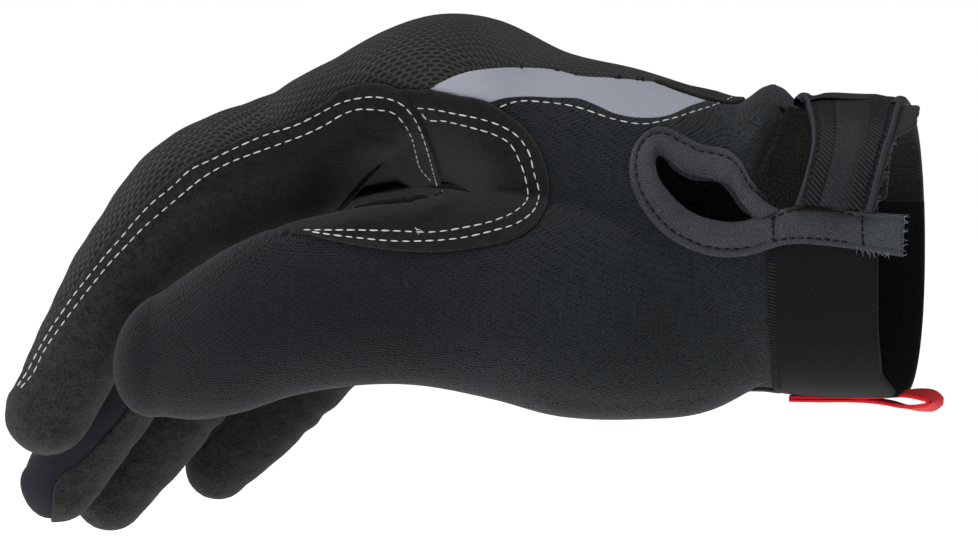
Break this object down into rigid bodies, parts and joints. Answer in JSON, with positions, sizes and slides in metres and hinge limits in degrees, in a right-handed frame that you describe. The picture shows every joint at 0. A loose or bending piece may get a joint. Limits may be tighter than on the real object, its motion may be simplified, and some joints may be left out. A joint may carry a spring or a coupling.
{
  "type": "mechanic work glove",
  "caption": "Right-hand work glove in its worn form: a hollow suede and mesh shell with curled fingers and a thumb, slit wrist, wrap strap, elastic cuff and pull loop.",
  "frame": {"origin": "centre of the cuff's mouth, where the wrist comes out", "axes": "+X out of the cuff along the wrist, so the fingers point to -X, +Z the back of the hand, -Y the thumb's side"},
  "size_m": [0.21, 0.1066, 0.1183],
  "materials": {
    "mesh": "matt dimpled air mesh",
    "suede": "brushed synthetic suede",
    "tricot": "smooth knitted tricot with small dash holes",
    "fourchette": "matt stretch knit",
    "strip": "smooth pale knit",
    "binding": "ribbed knit edging",
    "elastic": "twill woven elastic",
    "loop_pile": "loop pile",
    "strap_rubber": "ribbed rubber facing with fabric edging",
    "webbing": "plain woven tape"
  },
  "bodies": {
    "root": {"index_back": "mesh", "index_fourchette_far": "fourchette", "index_front": "suede", "middle_back": "mesh", "middle_fourchette_near": "fourchette", "middle_fourchette_far": "fourchette", "middle_front": "suede", "ring_back": "mesh", "ring_fourchette_near": "fourchette", "ring_fourchette_far": "fourchette", "ring_front": "suede", "little_back": "mesh", "little_fourchette_near": "fourchette", "little_front": "suede", "palm_panel": "suede", "back_panel": "mesh", "thumb_panel": "tricot", "thumb_front": "suede", "saddle_patch": "suede", "side_strip": "strip", "notch_binding": "binding", "cuff_band": "elastic", "loop_patch": "loop_pile", "closure_strap": "strap_rubber", "pull_loop": "webbing"}
  },
  "joints": []
}
